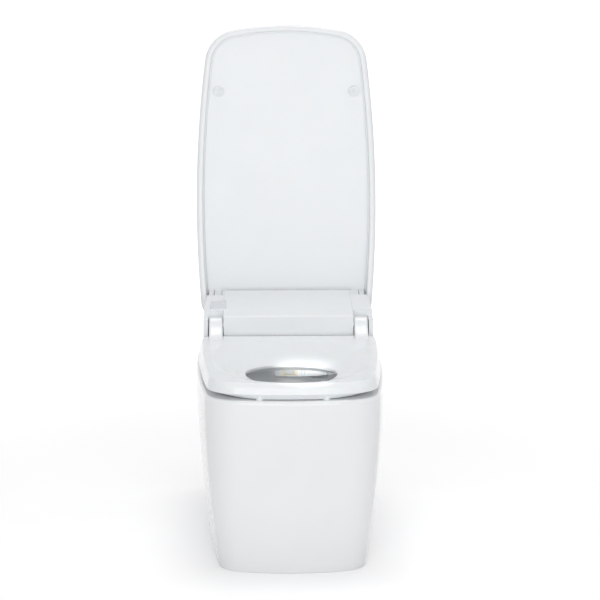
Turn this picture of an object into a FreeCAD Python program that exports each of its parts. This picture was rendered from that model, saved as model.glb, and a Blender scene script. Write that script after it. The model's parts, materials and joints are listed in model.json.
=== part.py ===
"""Smart toilet: one-piece ceramic pan, electronic rear unit, heated seat and soft-close lid.

Millimetres.  X points to the right of someone facing the toilet, Y points to the wall and Z up.
The origin lies on the floor, in the middle of the waste outlet.  The lid is built open.
"""
import FreeCAD
import Part
import math
import os

V = FreeCAD.Vector
os.makedirs("parts", exist_ok=True)

# ---------------------------------------------------------------- driving dimensions: the pan
outlet_to_wall = 300.0          # from the outlet's centre to the finished wall
overall_depth = 685.0
rim_height = 364.0
pan_half_width = 197.5          # at the widest place
widest_y = 20.0                 # where pan, seat and lid are widest
front_arc = 600.0               # plan radius of the flat front
corner_arc = 76.0               # plan radius of the front corners
side_arc = 2586.0               # plan radius of the long sides
rear_corner = 25.0
straight_above = 340.0          # the skirt is upright above this height
base_tuck = 27.0                # how much narrower each side is at the floor
base_setback = 41.0             # how much further back the front is at the floor
base_front_arc = 410.0
base_corner_arc = 55.0
base_side_arc = 2145.0
tuck_power = 1.7                # how quickly the skirt curves in towards the floor
ceramic_wall = 11.0
deck_thickness = 16.0
rim_edge_round = 7.0

# bowl: the egg-shaped outline at the rim, and the floor it narrows to
bowl_middle = -165.0
bowl_front = 160.0
bowl_rear = 140.0
bowl_half_width = pan_half_width - 62.5
bowl_floor = 100.0
sump_middle = -188.0

# trap: centre line heights and places of the passage under and behind the bowl
trap_radius = 26.0
trap_wall = 10.0
trap_start_y = -185.0
trap_dip_y = -128.0
trap_dip_z = 130.0
trap_crown_y = -74.0
trap_crown_z = 232.0
trap_bend = 40.0
outlet_flange_radius = 48.0
outlet_flange = 8.0
outlet_seal_height = 12.0

# floor fixing at each side of the pan
fixing_y = -110.0
fixing_z = 40.0
fixing_screw_radius = 3.0
fixing_cap_radius = 8.0
fixing_cap_height = 1.8
bracket_width = 30.0
bracket_height = 55.0
bracket_foot = 34.0
bracket_sheet = 4.0
floor_bolt_radius = 4.0

# ---------------------------------------------------------------- driving dimensions: rear unit
unit_inset = 14.0               # unit's sides inside the rim's outline
unit_front_y = 45.0
unit_rear_y = 272.0
unit_split_z = 398.0            # joint line between the tray and the cover
unit_wall = 3.0
cover_wall = 2.8
cover_front_round = 2.5
cover_seam = 0.5                # groove between the middle of the cover and its shoulders
tongue_half_width = pan_half_width - 57.5
shoulder_front_y = 83.0
cheek_inner_x = pan_half_width - 24.0
cheek_top_z = 442.0
cheek_front_y = 50.0
arm_pocket_floor = 371.5
clearance = 0.3                 # between pieces that only lie beside each other
running = 0.05                  # radial clearance of a shaft in its bearing

deck_opening_half = pan_half_width - 52.5       # opening through the pan's rear deck for the tank
deck_opening_front = 72.0
deck_opening_rear = 250.0
tank_clearance = 5.0
tank_floor_z = 170.0
tank_wall = 2.5
tank_flange = 9.0
tank_flange_thick = 3.0
chassis_thick = 3.0
chassis_gap = 4.0               # chassis plate over the tray's floor
chassis_half_width = deck_opening_half + 5.0
chassis_tab_x = pan_half_width - 34.5
chassis_tab_ys = (104.0, 232.0)
boss_radius = 6.0
unit_bolt_x = pan_half_width - 29.5
unit_bolt_y = 165.0
unit_bolt_radius = 4.0

window_half_width = 16.5
window_x = -(tongue_half_width + 11.5)
window_front = 128.0
window_length = 56.0
window_thick = 1.6
window_recess = 0.3
rear_panel_half = deck_opening_half + 5.0
rear_panel_thick = 2.5
rear_panel_top = unit_split_z + 10.0
gland_x = pan_half_width - 72.5
inlet_x = -(pan_half_width - 69.5)
port_z = rim_height + 21.0
gland_radius = 8.0
inlet_radius = 10.48            # outside of a G1/2 pipe thread

jet_radius = 11.0
jet_z = 130.0
jet_x = 88.0
jet_front_y = -205.0
jet_inner_end = 60.0
jet_bend = 22.0
pump_y = 150.0
pump_radius = 32.0
pump_height = 70.0

# ---------------------------------------------------------------- driving dimensions: lid
lid_axis_y = 228.0
lid_axis_z = 447.0
lid_length = 614.0              # from the hinge to the tip
lid_behind = 28.0               # how far the lid reaches behind its hinge
lid_half_width = pan_half_width + 2.5
lid_slope = 7.03                # degrees, the closed lid falls to the front
lid_lean = 2.5                  # degrees, the open lid leans back past upright
lid_inner = 30.0                # inner face above the hinge axis
lid_thickness = 11.0
lid_round = 7.0
lid_wall = 3.0
lid_panel = 2.5
lid_front_lip = 14.0
lid_side_lip = 14.0
lip_outer_round = 7.0
lip_inner_round = 3.0
lid_ledge = 3.0
lip_drop_front = 3.6            # lip below the inner face, at the tip
lip_drop_middle = 14.0
lip_drop_rear = 31.0
lid_arm_inner_x = tongue_half_width + 5.0
lid_arm_width = 16.5
lid_arm_barrel = 16.0
lid_arm_front = 24.0
lid_foot_gap = 1.2              # between the hinge arm and the foot beside it
lid_arm_rear = 12.0
lid_pin_radius = 5.0
lid_pocket_floor = 428.0
lid_bumper_x = pan_half_width - 47.5
lid_bumper_reach = 468.0
lid_bumper_radius = 11.0
lid_bumper_round = 1.2
unit_top_offset = 26.0          # unit's top face above the lid's hinge axis

# ---------------------------------------------------------------- driving dimensions: seat
seat_inset = 5.0
seat_bottom_z = 372.0
seat_ridge_z = 398.5
seat_ridge_inset = 13.0
seat_rear_y = 40.0
seat_tilt = 1.35                # degrees, the seat's top rises to the rear
seat_flat = 13.0                # width of the top before it dips to the opening
dip_shoulder = 38.0             # the dip steepens this far from the opening
dip_shoulder_z = 393.5
seat_wall = 3.0
seat_split_z = 376.0
opening_middle = -205.0
opening_front = 110.0
opening_rear = 80.0
opening_half_width = pan_half_width - 103.5
opening_edge_z = 381.0
bulge_z = 365.2                 # underside of the lower shell
bulge_front = 9.0               # its lowest ring inside the seat's edge, at the front
bulge_half_width = 158.0
bulge_corner = 115.0
bulge_rear_y = -60.0
bulge_wall = 22.0               # width of the raised ring round the opening
seat_axis_y = 63.5
seat_axis_z = 427.0
seat_barrel = 18.0
seat_arm_inner_x = tongue_half_width + 1.6
seat_arm_width = 29.4
seat_arm_round = 4.0
seat_arm_root_z = 405.5         # the arm's top leaves the seat's top here, level
seat_shaft_radius = 6.0
seat_pad_radius = 7.0
seat_pads = ((pan_half_width - 131.5, -366.0), (pan_half_width - 31.5, -40.0))
heater_thick = 0.6
heater_gap = 8.0                # film starts this far from the opening
heater_reach = 44.0
nose_relief_half = 84.0

# ---------------------------------------------------------------- driving dimensions: washing and drying
spray_slope = 18.0              # degrees, the nozzle runs down to the front
spray_exit_y = -36.0
spray_exit_z = 345.0
nose_left = -20.0
nose_right = 68.0
nose_half_height = 9.5
nose_length = 216.0
nose_roof_length = 82.0
nose_foot_front = 150.0
nose_foot_rear = 190.0
nose_foot_thick = 4.0
nose_start = 2.0                # the front face lies this far behind the spray exit
nose_side_gap = 12.0            # from the nose to the side of its recess in the pan
nose_floor_gap = 2.5
nose_front_thick = 3.0          # the nose's front plate, which closes the recess
nose_channel_half = 16.5
nose_channel_half_height = 7.0
guide_length = 60.0
guide_lip = 1.5
wand_half_width = 11.5
wand_half_height = 5.5
wand_length = 215.0
wand_tip_length = 24.0
gear_module = 1.0
gear_teeth = 16
gear_addendum = 0.85
gear_dedendum = 1.15
gear_backlash = 0.3
gear_width = 5.0
rack_groove = 6.0
pinion_place = 115.0
motor_radius = 11.0
motor_length = 18.0
dryer_left = 25.0
dryer_right = 65.0
dryer_half_height = 7.7
duct_wall = 1.2
flap_thick = 2.0
flap_cap = 4.0                  # the flap's rounded front stands out this far
flap_cap_left = 31.0
flap_cap_right = 70.5
flap_cap_low = 9.7
flap_cap_high = 6.2
fan_x = 85.0
fan_y = 211.0
fan_radius = 38.0
fan_bottom = 396.0
fan_height = 30.0
fan_blades = 16
impeller_radius = 30.0

rim_front_y = outlet_to_wall - overall_depth
pitch_radius = gear_module * gear_teeth / 2
chassis_bottom = rim_height + unit_wall + chassis_gap
chassis_top = chassis_bottom + chassis_thick
AXIS_X = V(1, 0, 0)
AXIS_Y = V(0, 1, 0)
AXIS_Z = V(0, 0, 1)


# ---------------------------------------------------------------- small helpers
def box(low, high):
    return Part.makeBox(high[0] - low[0], high[1] - low[1], high[2] - low[2], V(*low))


def both_sides(shape):
    """The shape and its mirror image across the middle."""
    return [shape, shape.mirror(V(0, 0, 0), AXIS_X)]


def rod_x(x0, x1, y, z, radius):
    return Part.makeCylinder(radius, x1 - x0, V(x0, y, z), AXIS_X)


def rod_z(x, y, z0, z1, radius):
    return Part.makeCylinder(radius, z1 - z0, V(x, y, z0), AXIS_Z)


def prism(wire, height, direction=AXIS_Z):
    return Part.Face(wire).extrude(direction * height)


def loft(wires):
    return Part.makeLoft(wires, True)


def polygon(points):
    return Part.makePolygon(points + [points[0]])


def write(name, shape):
    solids = shape.Solids
    result = solids[0] if len(solids) == 1 else Part.makeCompound(solids)
    result.exportStep("parts/" + name + ".step")
    volume = sum(s.Volume for s in solids) / 1000
    print(f"{name:22s} {len(solids):3d} solids {volume:9.1f} cm3 valid={result.isValid()}")


# ---------------------------------------------------------------- plan outlines
def circle_meet(a, reach_a, b, reach_b):
    """The front one of the two points at the given distances from a and b."""
    gap = (b - a).Length
    along = (reach_a ** 2 - reach_b ** 2 + gap ** 2) / (2 * gap)
    aside = math.sqrt(reach_a ** 2 - along ** 2)
    line = (b - a).normalize()
    side = V(-line.y, line.x, 0)
    one = a + line * along + side * aside
    two = a + line * along - side * aside
    return one if one.y < two.y else two


def arc_round(centre, radius, start, end):
    middle = ((start - centre).normalize() + (end - centre).normalize()).normalize()
    return Part.Arc(start, centre + middle * radius, end).toShape()


def plan_wire(z, inset=0.0, front=None, half_width=None, rear=None, front_radius=None,
              corner=None, side_radius=None, wide_y=widest_y, back_corner=rear_corner):
    """Closed outline of tangent arcs: flat front, round corners, bowed sides, straight rear."""
    front = rim_front_y if front is None else front
    half_width = pan_half_width if half_width is None else half_width
    rear = outlet_to_wall if rear is None else rear
    front_radius = (front_radius or front_arc) - inset
    corner = (corner or corner_arc) - inset
    side_radius = (side_radius or side_arc) - inset
    back_corner = max(back_corner - inset, 6.0)
    front, rear, half_width = front + inset, rear - inset, half_width - inset
    front_centre = V(0, front + front_radius, z)
    side_centre = V(half_width - side_radius, wide_y, z)
    turn = circle_meet(front_centre, front_radius - corner, side_centre, side_radius - corner)
    back_y = rear - back_corner
    back_x = side_centre.x + math.sqrt((side_radius - back_corner) ** 2 - (back_y - wide_y) ** 2)
    back = V(back_x, back_y, z)
    a = V(back_x, rear, z)
    b = side_centre + (back - side_centre).normalize() * side_radius
    d = side_centre + (turn - side_centre).normalize() * side_radius
    c = side_centre + ((b + d) * 0.5 - side_centre).normalize() * side_radius
    e = front_centre + (turn - front_centre).normalize() * front_radius
    right = [arc_round(back, back_corner, a, b), arc_round(side_centre, side_radius, b, c),
             arc_round(side_centre, side_radius, c, d), arc_round(turn, corner, d, e)]
    nose = Part.Arc(e, V(0, front, z), V(-e.x, e.y, z)).toShape()

    def flip(p):
        return V(-p.x, p.y, z)

    left = [arc_round(flip(turn), corner, flip(e), flip(d)),
            arc_round(flip(side_centre), side_radius, flip(d), flip(c)),
            arc_round(flip(side_centre), side_radius, flip(c), flip(b)),
            arc_round(flip(back), back_corner, flip(b), flip(a))]
    return Part.Wire(right + [nose] + left + [Part.LineSegment(flip(a), a).toShape()])


def egg_point(middle, half_width, front, rear, angle, z):
    reach = rear if math.sin(angle) > 0 else front
    return V(half_width * math.cos(angle), middle + reach * math.sin(angle), z)


def egg_wire(z, middle, half_width, front, rear):
    """Egg of ten arcs, whose ends match the ten edges of a plan outline."""
    stops = [68, 34, 0, -34, -68, -112, -146, -180, -214, -248, -292]
    edges = []
    for start, end in zip(stops, stops[1:]):
        a, m, b = (math.radians(v) for v in (start, (start + end) / 2, end))
        p, q, r = (egg_point(middle, half_width, front, rear, v, z) for v in (a, m, b))
        edges.append(Part.Arc(p, q, r).toShape())
    return Part.Wire(edges)


def seat_opening_wire(z, grow=0.0):
    return egg_wire(z, opening_middle, opening_half_width + grow, opening_front + grow,
                    opening_rear + grow)


# ---------------------------------------------------------------- ceramic pan
def pan_wire(z, inset=0.0):
    share = (max(0.0, straight_above - z) / straight_above) ** tuck_power
    return plan_wire(
        z, inset, front=rim_front_y + base_setback * share,
        half_width=pan_half_width - base_tuck * share,
        front_radius=front_arc + (base_front_arc - front_arc) * share,
        corner=corner_arc + (base_corner_arc - corner_arc) * share,
        side_radius=side_arc + (base_side_arc - side_arc) * share)


def skirt_form(inset, top):
    """The pan's outer form moved in by inset, up to the given height."""
    steps = 5
    heights = [straight_above * i / steps for i in range(steps + 1)]
    lower = loft([pan_wire(z, inset) for z in heights])
    upper = prism(pan_wire(straight_above, inset), top - straight_above)
    if inset == 0:
        rim = [e for e in upper.Edges if e.BoundBox.ZMin > top - 0.01]
        upper = upper.makeFillet(rim_edge_round, rim)
    return lower.fuse(upper)


def bowl_form(grow):
    """The bowl's inside, or with grow its outer wall."""
    depth = rim_height - bowl_floor
    sections = []
    for share, width, moved in ((1.0, 1.0, 0.0), (0.92, 1.0, 0.0), (0.8, 0.96, 0.05),
                                (0.6, 0.82, 0.3), (0.38, 0.6, 0.7), (0.18, 0.42, 0.95),
                                (0.0, 0.26, 1.0)):
        z = bowl_floor + depth * share
        if share == 0.0:
            z -= grow
        middle = bowl_middle + (sump_middle - bowl_middle) * moved
        sections.append(egg_wire(z, middle, bowl_half_width * width + grow,
                                 bowl_front * width + grow, bowl_rear * width + grow))
    return loft(sections)


def bent_path(points, bend):
    """Straight runs joined by tangent arcs."""
    edges = []
    start = points[0]
    for before, corner, after in zip(points, points[1:], points[2:]):
        into = (corner - before).normalize()
        out = (after - corner).normalize()
        half = into.getAngle(out) / 2
        back = bend * math.tan(half)
        first, last = corner - into * back, corner + out * back
        inward = (out - into).normalize()
        centre = corner + inward * (bend / math.cos(half))
        edges.append(Part.LineSegment(start, first).toShape())
        edges.append(Part.Arc(first, centre - inward * bend, last).toShape())
        start = last
    edges.append(Part.LineSegment(start, points[-1]).toShape())
    return Part.Wire(edges)


def tube(points, bend, radius):
    path = bent_path(points, bend)
    ring = Part.makeCircle(radius, points[0], points[1] - points[0])
    return path.makePipeShell([Part.Wire(ring)], True, False)


def trap_points(end_z):
    return [V(0, trap_start_y, trap_dip_z), V(0, trap_dip_y, trap_dip_z),
            V(0, trap_crown_y, trap_crown_z), V(0, 0, trap_crown_z), V(0, 0, end_z)]


def spray_frame():
    """Local frame of nozzle and dryer: -Y runs out of the exit and down, Z is square to it."""
    turn = FreeCAD.Rotation(AXIS_X, spray_slope)
    return FreeCAD.Placement(V(0, spray_exit_y, spray_exit_z), turn)


def sloped(shape):
    moved = shape.copy()
    moved.Placement = spray_frame().multiply(moved.Placement)
    return moved


def nose_recess(grow):
    """Channel across the pan's rear rim, in which nozzle and dryer lie."""
    side = nose_side_gap + grow
    floor = nose_half_height + nose_floor_gap + grow
    return sloped(box((nose_left - side, -60, -floor), (nose_right + side, 135 - grow, 70)))


def fixing_x():
    """Half width of the skirt's outside at the side fixing."""
    share = ((straight_above - fixing_z) / straight_above) ** tuck_power
    radius = side_arc + (base_side_arc - side_arc) * share
    return (pan_half_width - base_tuck * share) - (fixing_y - widest_y) ** 2 / (2 * radius)


def ceramic_pan():
    flange_top = outlet_seal_height + outlet_flange
    deck_bottom = rim_height - deck_thickness
    outer = skirt_form(0, rim_height)
    shell = outer.cut(skirt_form(ceramic_wall, deck_bottom))
    below_rim = box((-150, -400, 0), (150, 120, rim_height))
    recess_wall = nose_recess(ceramic_wall).common(
        box((-150, bowl_middle, 200), (150, deck_opening_front, rim_height)))
    horn = tube(trap_points(outlet_seal_height), trap_bend, trap_radius + trap_wall)
    flange = rod_z(0, 0, outlet_seal_height, flange_top, outlet_flange_radius)
    solid = shell.fuse([bowl_form(ceramic_wall).common(below_rim), recess_wall, horn, flange])
    opening = box((-deck_opening_half, deck_opening_front, deck_bottom - 1),
                  (deck_opening_half, deck_opening_rear, rim_height + 1))
    rear_window = box((-125, outlet_to_wall - 40, -1), (125, outlet_to_wall + 1, deck_bottom))
    cuts = [bowl_form(0), tube(trap_points(0), trap_bend, trap_radius), nose_recess(0), opening,
            rear_window]
    cap_seat = fixing_x() - fixing_cap_height
    cuts += both_sides(rod_x(cap_seat, cap_seat + 30, fixing_y, fixing_z,
                             fixing_cap_radius + clearance))
    cuts += both_sides(rod_x(cap_seat - 30, cap_seat + 1, fixing_y, fixing_z,
                             fixing_screw_radius + clearance))
    cuts += both_sides(rod_z(unit_bolt_x, unit_bolt_y, deck_bottom - 1, rim_height + 1,
                             unit_bolt_radius + clearance))
    jet = rod_x(20, jet_x - jet_radius, jet_front_y, jet_z, jet_radius - 2)
    return solid.cut(cuts + [jet])


def outlet_seal():
    ring = rod_z(0, 0, 0, outlet_seal_height, outlet_flange_radius - 2)
    return ring.cut(rod_z(0, 0, -1, outlet_seal_height + 1, trap_radius))


def bracket_leg_x():
    return fixing_x() - ceramic_wall - bracket_sheet - 6.0


def floor_brackets():
    leg = bracket_leg_x()
    low_y, high_y = fixing_y - bracket_width / 2, fixing_y + bracket_width / 2
    upright = box((leg - bracket_sheet, low_y, 0), (leg, high_y, bracket_height))
    foot = box((leg - bracket_foot, low_y, 0), (leg, high_y, bracket_sheet))
    angle = upright.fuse(foot).removeSplitter()
    angle = angle.cut([rod_x(leg - 20, leg + 1, fixing_y, fixing_z, fixing_screw_radius + 0.1),
                       rod_z(leg - bracket_foot * 0.6, fixing_y, -1, bracket_sheet + 1,
                             floor_bolt_radius + 0.1)])
    return Part.makeCompound(both_sides(angle))


def skirt_screws():
    """Countersunk screws through the skirt into the floor brackets."""
    seat = fixing_x() - fixing_cap_height
    shank = rod_x(bracket_leg_x() - 12, seat - 2, fixing_y, fixing_z, fixing_screw_radius)
    return Part.makeCompound(both_sides(shank))


def skirt_caps():
    seat = fixing_x() - fixing_cap_height
    disc = rod_x(seat, seat + fixing_cap_height, fixing_y, fixing_z, fixing_cap_radius)
    rim = [e for e in disc.Edges if e.BoundBox.XMin > seat + fixing_cap_height - 0.01]
    disc = disc.makeFillet(0.8, rim)
    return Part.makeCompound(both_sides(disc))


# ---------------------------------------------------------------- rear unit
def closed_lid_frame():
    return FreeCAD.Placement(V(0, lid_axis_y, lid_axis_z), FreeCAD.Rotation(AXIS_X, lid_slope))


def open_lid_frame():
    turn = FreeCAD.Rotation(AXIS_X, -(90.0 + lid_lean))
    return FreeCAD.Placement(V(0, lid_axis_y, lid_axis_z), turn)


def placed(shape, frame):
    moved = shape.copy()
    moved.Placement = frame.multiply(moved.Placement)
    return moved


def top_z(y, offset):
    """Height over y of the plane that lies offset above the lid's axis, at the lid's slope."""
    slope = math.radians(lid_slope)
    return lid_axis_z + offset / math.cos(slope) - (lid_axis_y - y) * math.tan(slope)


def cover_form(inset, bottom):
    """The cover's outer form, or with inset the space inside it."""
    slope = math.radians(lid_slope)
    radius = unit_top_offset - inset
    front = unit_front_y + inset
    rear = lid_axis_y + radius
    ledge_y, ledge_z = unit_rear_y - inset, unit_split_z + 14.0 - inset
    meet = V(0, lid_axis_y - radius * math.sin(slope), lid_axis_z + radius * math.cos(slope))
    crest = V(0, lid_axis_y + radius * math.sin(math.radians(40)),
              lid_axis_z + radius * math.cos(math.radians(40)))
    edges = [Part.LineSegment(V(0, front, bottom), V(0, front, top_z(front, radius))).toShape(),
             Part.LineSegment(V(0, front, top_z(front, radius)), meet).toShape(),
             Part.Arc(meet, crest, V(0, rear, lid_axis_z)).toShape(),
             Part.LineSegment(V(0, rear, lid_axis_z), V(0, rear, ledge_z)).toShape(),
             Part.LineSegment(V(0, rear, ledge_z), V(0, ledge_y, ledge_z)).toShape(),
             Part.LineSegment(V(0, ledge_y, ledge_z), V(0, ledge_y, bottom)).toShape(),
             Part.LineSegment(V(0, ledge_y, bottom), V(0, front, bottom)).toShape()]
    side = prism(Part.Wire(edges), 2 * pan_half_width, AXIS_X)
    side.translate(V(-pan_half_width, 0, 0))
    plan = prism(plan_wire(bottom - 1, unit_inset + inset, front=-200.0), 200.0)
    form = side.common(plan)
    high = lid_axis_z + 60
    pocket_in, pocket_out = tongue_half_width - inset, cheek_inner_x + inset
    cuts = both_sides(box((pocket_in, 0, bottom - 2), (pocket_out, shoulder_front_y + inset, high)))
    cuts += both_sides(box((pocket_out - 1, 0, bottom - 2),
                           (pan_half_width, cheek_front_y + inset, high)))
    cuts += both_sides(box((pocket_out - 1, 0, cheek_top_z - inset),
                           (pan_half_width, shoulder_front_y + inset, high)))
    cuts += both_sides(lid_arm_pocket(inset))
    form = form.cut(cuts)
    if inset == 0:
        form = form.makeFillet(cover_front_round, front_top_edges(form))
    return form


def front_top_edges(form):
    """The top front edge of the tongue."""
    found = []
    for edge in form.Edges:
        b = edge.BoundBox
        along = b.XLength > 50 and b.YLength < 0.1 and b.ZLength < 0.1
        if along and abs(b.YMin - unit_front_y) < 0.1 and b.ZMin > unit_split_z + 20:
            found.append(edge)
    return found


def lid_arm_pocket(inset):
    """Room at the rear of a shoulder for the lid's arm and foot, as they swing."""
    x0 = lid_arm_inner_x - 1.5 - inset
    x1 = pan_half_width
    reach = math.hypot(lid_arm_front, lid_inner) + 1.5 + inset
    swept = rod_x(x0, x1, lid_axis_y, lid_axis_z, reach)
    above = box((x0 - 1, 0, lid_pocket_floor - inset), (x1 + 1, 400, lid_axis_z + 100))
    return swept.common(above)


def unit_cover():
    outer = cover_form(0, unit_split_z)
    shell = outer.cut(cover_form(cover_wall, unit_split_z - 1.5))
    cuts = both_sides(rod_x(tongue_half_width - 6, tongue_half_width + 1, seat_axis_y, seat_axis_z,
                            seat_shaft_radius + 2 * running))
    cuts += both_sides(rod_x(lid_arm_inner_x - 8, lid_arm_inner_x, lid_axis_y, lid_axis_z,
                             lid_pin_radius + 2 * running))
    cuts.append(sensor_window_form(clearance))
    seam = box((tongue_half_width - cover_seam, -lid_axis_y + shoulder_front_y - 1,
                unit_top_offset - cover_seam), (tongue_half_width, 0, unit_top_offset + 1))
    cuts += both_sides(placed(seam, closed_lid_frame()))
    return shell.cut(cuts)


def sensor_window_form(grow):
    """Grey window let into the left shoulder, flush with its top."""
    low = -window_front
    top = unit_top_offset + (window_thick if grow else -window_recess)
    pane = box((window_x - window_half_width - grow, low - grow, unit_top_offset - window_thick),
               (window_x + window_half_width + grow, low + window_length + grow, top))
    return placed(pane, closed_lid_frame())


def base_form(inset, bottom):
    plan = plan_wire(bottom, unit_inset + inset, rear=unit_rear_y + unit_inset,
                     front=-200.0)
    form = prism(plan, unit_split_z - bottom + (1 if inset else 0))
    form = form.cut(box((-300, -300, bottom - 1), (300, unit_front_y + inset, unit_split_z + 2)))
    pockets = both_sides(box((tongue_half_width - inset, 0, arm_pocket_floor - inset),
                             (cheek_inner_x + inset, shoulder_front_y + inset, unit_split_z + 2)))
    cheeks = both_sides(box((cheek_inner_x, 0, bottom - 1),
                            (pan_half_width, cheek_front_y + inset, unit_split_z + 2)))
    return form.cut(pockets + cheeks)


def unit_base():
    """Tray that rests on the pan's deck, open for the tank and the nozzle channel."""
    tray = base_form(0, rim_height).cut(base_form(unit_wall, rim_height + unit_wall))
    flange = deck_opening_half - tank_clearance + tank_wall + tank_flange + 4.0
    tank_hole = box((-flange, deck_opening_front - tank_flange - 2, rim_height - 1),
                    (flange, deck_opening_rear + tank_flange + 2, rim_height + unit_wall + 1))
    mouth = box((nose_left - 16, 0, rim_height - 1),
                (nose_right + 12, deck_opening_front, unit_split_z + 1))
    floor_top = rim_height + unit_wall
    bosses = []
    for y in chassis_tab_ys:
        bosses += both_sides(rod_z(chassis_tab_x, y, floor_top, chassis_bottom, boss_radius))
    holes = both_sides(rod_z(unit_bolt_x, unit_bolt_y, rim_height - 1, floor_top + 1,
                             unit_bolt_radius + clearance))
    rear_hole = box((-rear_panel_half + 8, unit_rear_y - 10, floor_top + 4),
                    (rear_panel_half - 8, unit_rear_y + 1, unit_split_z + 1))
    return tray.cut([tank_hole, mouth, rear_hole] + holes).fuse(bosses)


def rear_panel():
    panel = box((-rear_panel_half, unit_rear_y, rim_height + 1),
                (rear_panel_half, unit_rear_y + rear_panel_thick, rear_panel_top))
    upright = [e for e in panel.Edges if e.BoundBox.YLength > 2]
    panel = panel.makeFillet(6, upright)
    ports = [Part.makeCylinder(gland_radius + clearance, 20, V(gland_x, unit_rear_y - 5, port_z), AXIS_Y),
             Part.makeCylinder(inlet_radius + clearance, 20, V(inlet_x, unit_rear_y - 5, port_z), AXIS_Y)]
    vents = [box((-60 + 12 * i, unit_rear_y - 1, port_z - 8), (-54 + 12 * i, unit_rear_y + 5, port_z + 8))
             for i in range(10)]
    return panel.cut(ports + vents)


def power_gland():
    body = Part.makeCylinder(gland_radius, 12, V(gland_x, unit_rear_y - 6, port_z), AXIS_Y)
    collar = Part.makeCylinder(gland_radius + 3, 5, V(gland_x, unit_rear_y + rear_panel_thick, port_z),
                               AXIS_Y)
    bore = Part.makeCylinder(3.6, 40, V(gland_x, unit_rear_y - 10, port_z), AXIS_Y)
    return body.fuse(collar).cut(bore)


def water_inlet():
    length = 24.0
    spigot = Part.makeCylinder(inlet_radius, length, V(inlet_x, unit_rear_y - 6, port_z), AXIS_Y)
    nut = Part.makeCylinder(inlet_radius + 4, 4, V(inlet_x, unit_rear_y + rear_panel_thick, port_z),
                            AXIS_Y)
    bore = Part.makeCylinder(6.0, length + 8, V(inlet_x, unit_rear_y - 10, port_z), AXIS_Y)
    return spigot.fuse(nut).cut(bore)


def unit_bolts():
    floor_top = rim_height + unit_wall
    shank = rod_z(unit_bolt_x, unit_bolt_y, rim_height - deck_thickness - 12, floor_top, unit_bolt_radius)
    head = rod_z(unit_bolt_x, unit_bolt_y, floor_top, floor_top + 5, unit_bolt_radius + 3)
    nut = rod_z(unit_bolt_x, unit_bolt_y, rim_height - deck_thickness - 6, rim_height - deck_thickness,
                unit_bolt_radius + 4)
    return Part.makeCompound(both_sides(shank.fuse([head, nut])))


def chassis_plate():
    low_y = shoulder_front_y + unit_wall + 1.0
    plate = box((-chassis_half_width, low_y, chassis_bottom),
                (chassis_half_width, unit_rear_y - unit_wall - 1, chassis_top))
    front = both_sides(box((92.0, unit_front_y + unit_wall + 1, chassis_bottom),
                           (tongue_half_width - unit_wall - 1, low_y + 1, chassis_top)))
    tabs = []
    holes = []
    for y in chassis_tab_ys:
        tabs += both_sides(box((chassis_half_width - 2, y - 8, chassis_bottom),
                               (chassis_tab_x + 6, y + 8, chassis_top)))
        holes += both_sides(rod_z(chassis_tab_x, y, chassis_bottom - 1, chassis_top + 1, 2.0))
    return plate.fuse(front + tabs).removeSplitter().cut(holes)


def chassis_screws():
    screws = []
    for y in chassis_tab_ys:
        head = rod_z(chassis_tab_x, y, chassis_top, chassis_top + 2, 4.0)
        screws += both_sides(head.fuse(rod_z(chassis_tab_x, y, chassis_bottom, chassis_top, 1.9)))
    return Part.makeCompound(screws)


# ---------------------------------------------------------------- flushing: tank, pump and jet pipe
def flush_tank():
    half = deck_opening_half - tank_clearance
    low, high = deck_opening_front + tank_clearance, deck_opening_rear - tank_clearance
    body = box((-half, low, tank_floor_z), (half, high, rim_height))
    upright = [e for e in body.Edges if e.BoundBox.ZLength > 100]
    body = body.makeFillet(18, upright)
    lip_half = deck_opening_half + tank_flange
    flange = box((-lip_half, deck_opening_front - tank_flange, rim_height),
                 (lip_half, deck_opening_rear + tank_flange, rim_height + tank_flange_thick))
    room = box((-half + tank_wall, low + tank_wall, tank_floor_z + tank_wall),
               (half - tank_wall, high - tank_wall, rim_height - 14))
    nozzle_dip = nose_recess(0)
    return body.cut(room).fuse(flange).cut(nozzle_dip)


def flush_pump():
    top = tank_floor_z
    body = rod_z(jet_x, pump_y, top - pump_height - 4, top - 4, pump_radius)
    neck = rod_z(jet_x, pump_y, top - 4, top, 14.0)
    motor = rod_z(jet_x, pump_y, top - pump_height - 26, top - pump_height - 4, pump_radius - 10)
    spout = Part.makeCylinder(jet_radius + 2, 20, V(jet_x, pump_y - pump_radius - 14, jet_z), AXIS_Y)
    return body.fuse([neck, motor, spout])


def jet_pipe():
    start = pump_y - pump_radius - 14
    points = [V(jet_x, start, jet_z), V(jet_x, jet_front_y, jet_z), V(jet_inner_end, jet_front_y, jet_z)]
    outside = tube(points, jet_bend, jet_radius)
    outside = outside.cut(bowl_form(ceramic_wall))
    inside = tube(points, jet_bend, jet_radius - 2)
    return outside.cut(inside)


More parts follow.
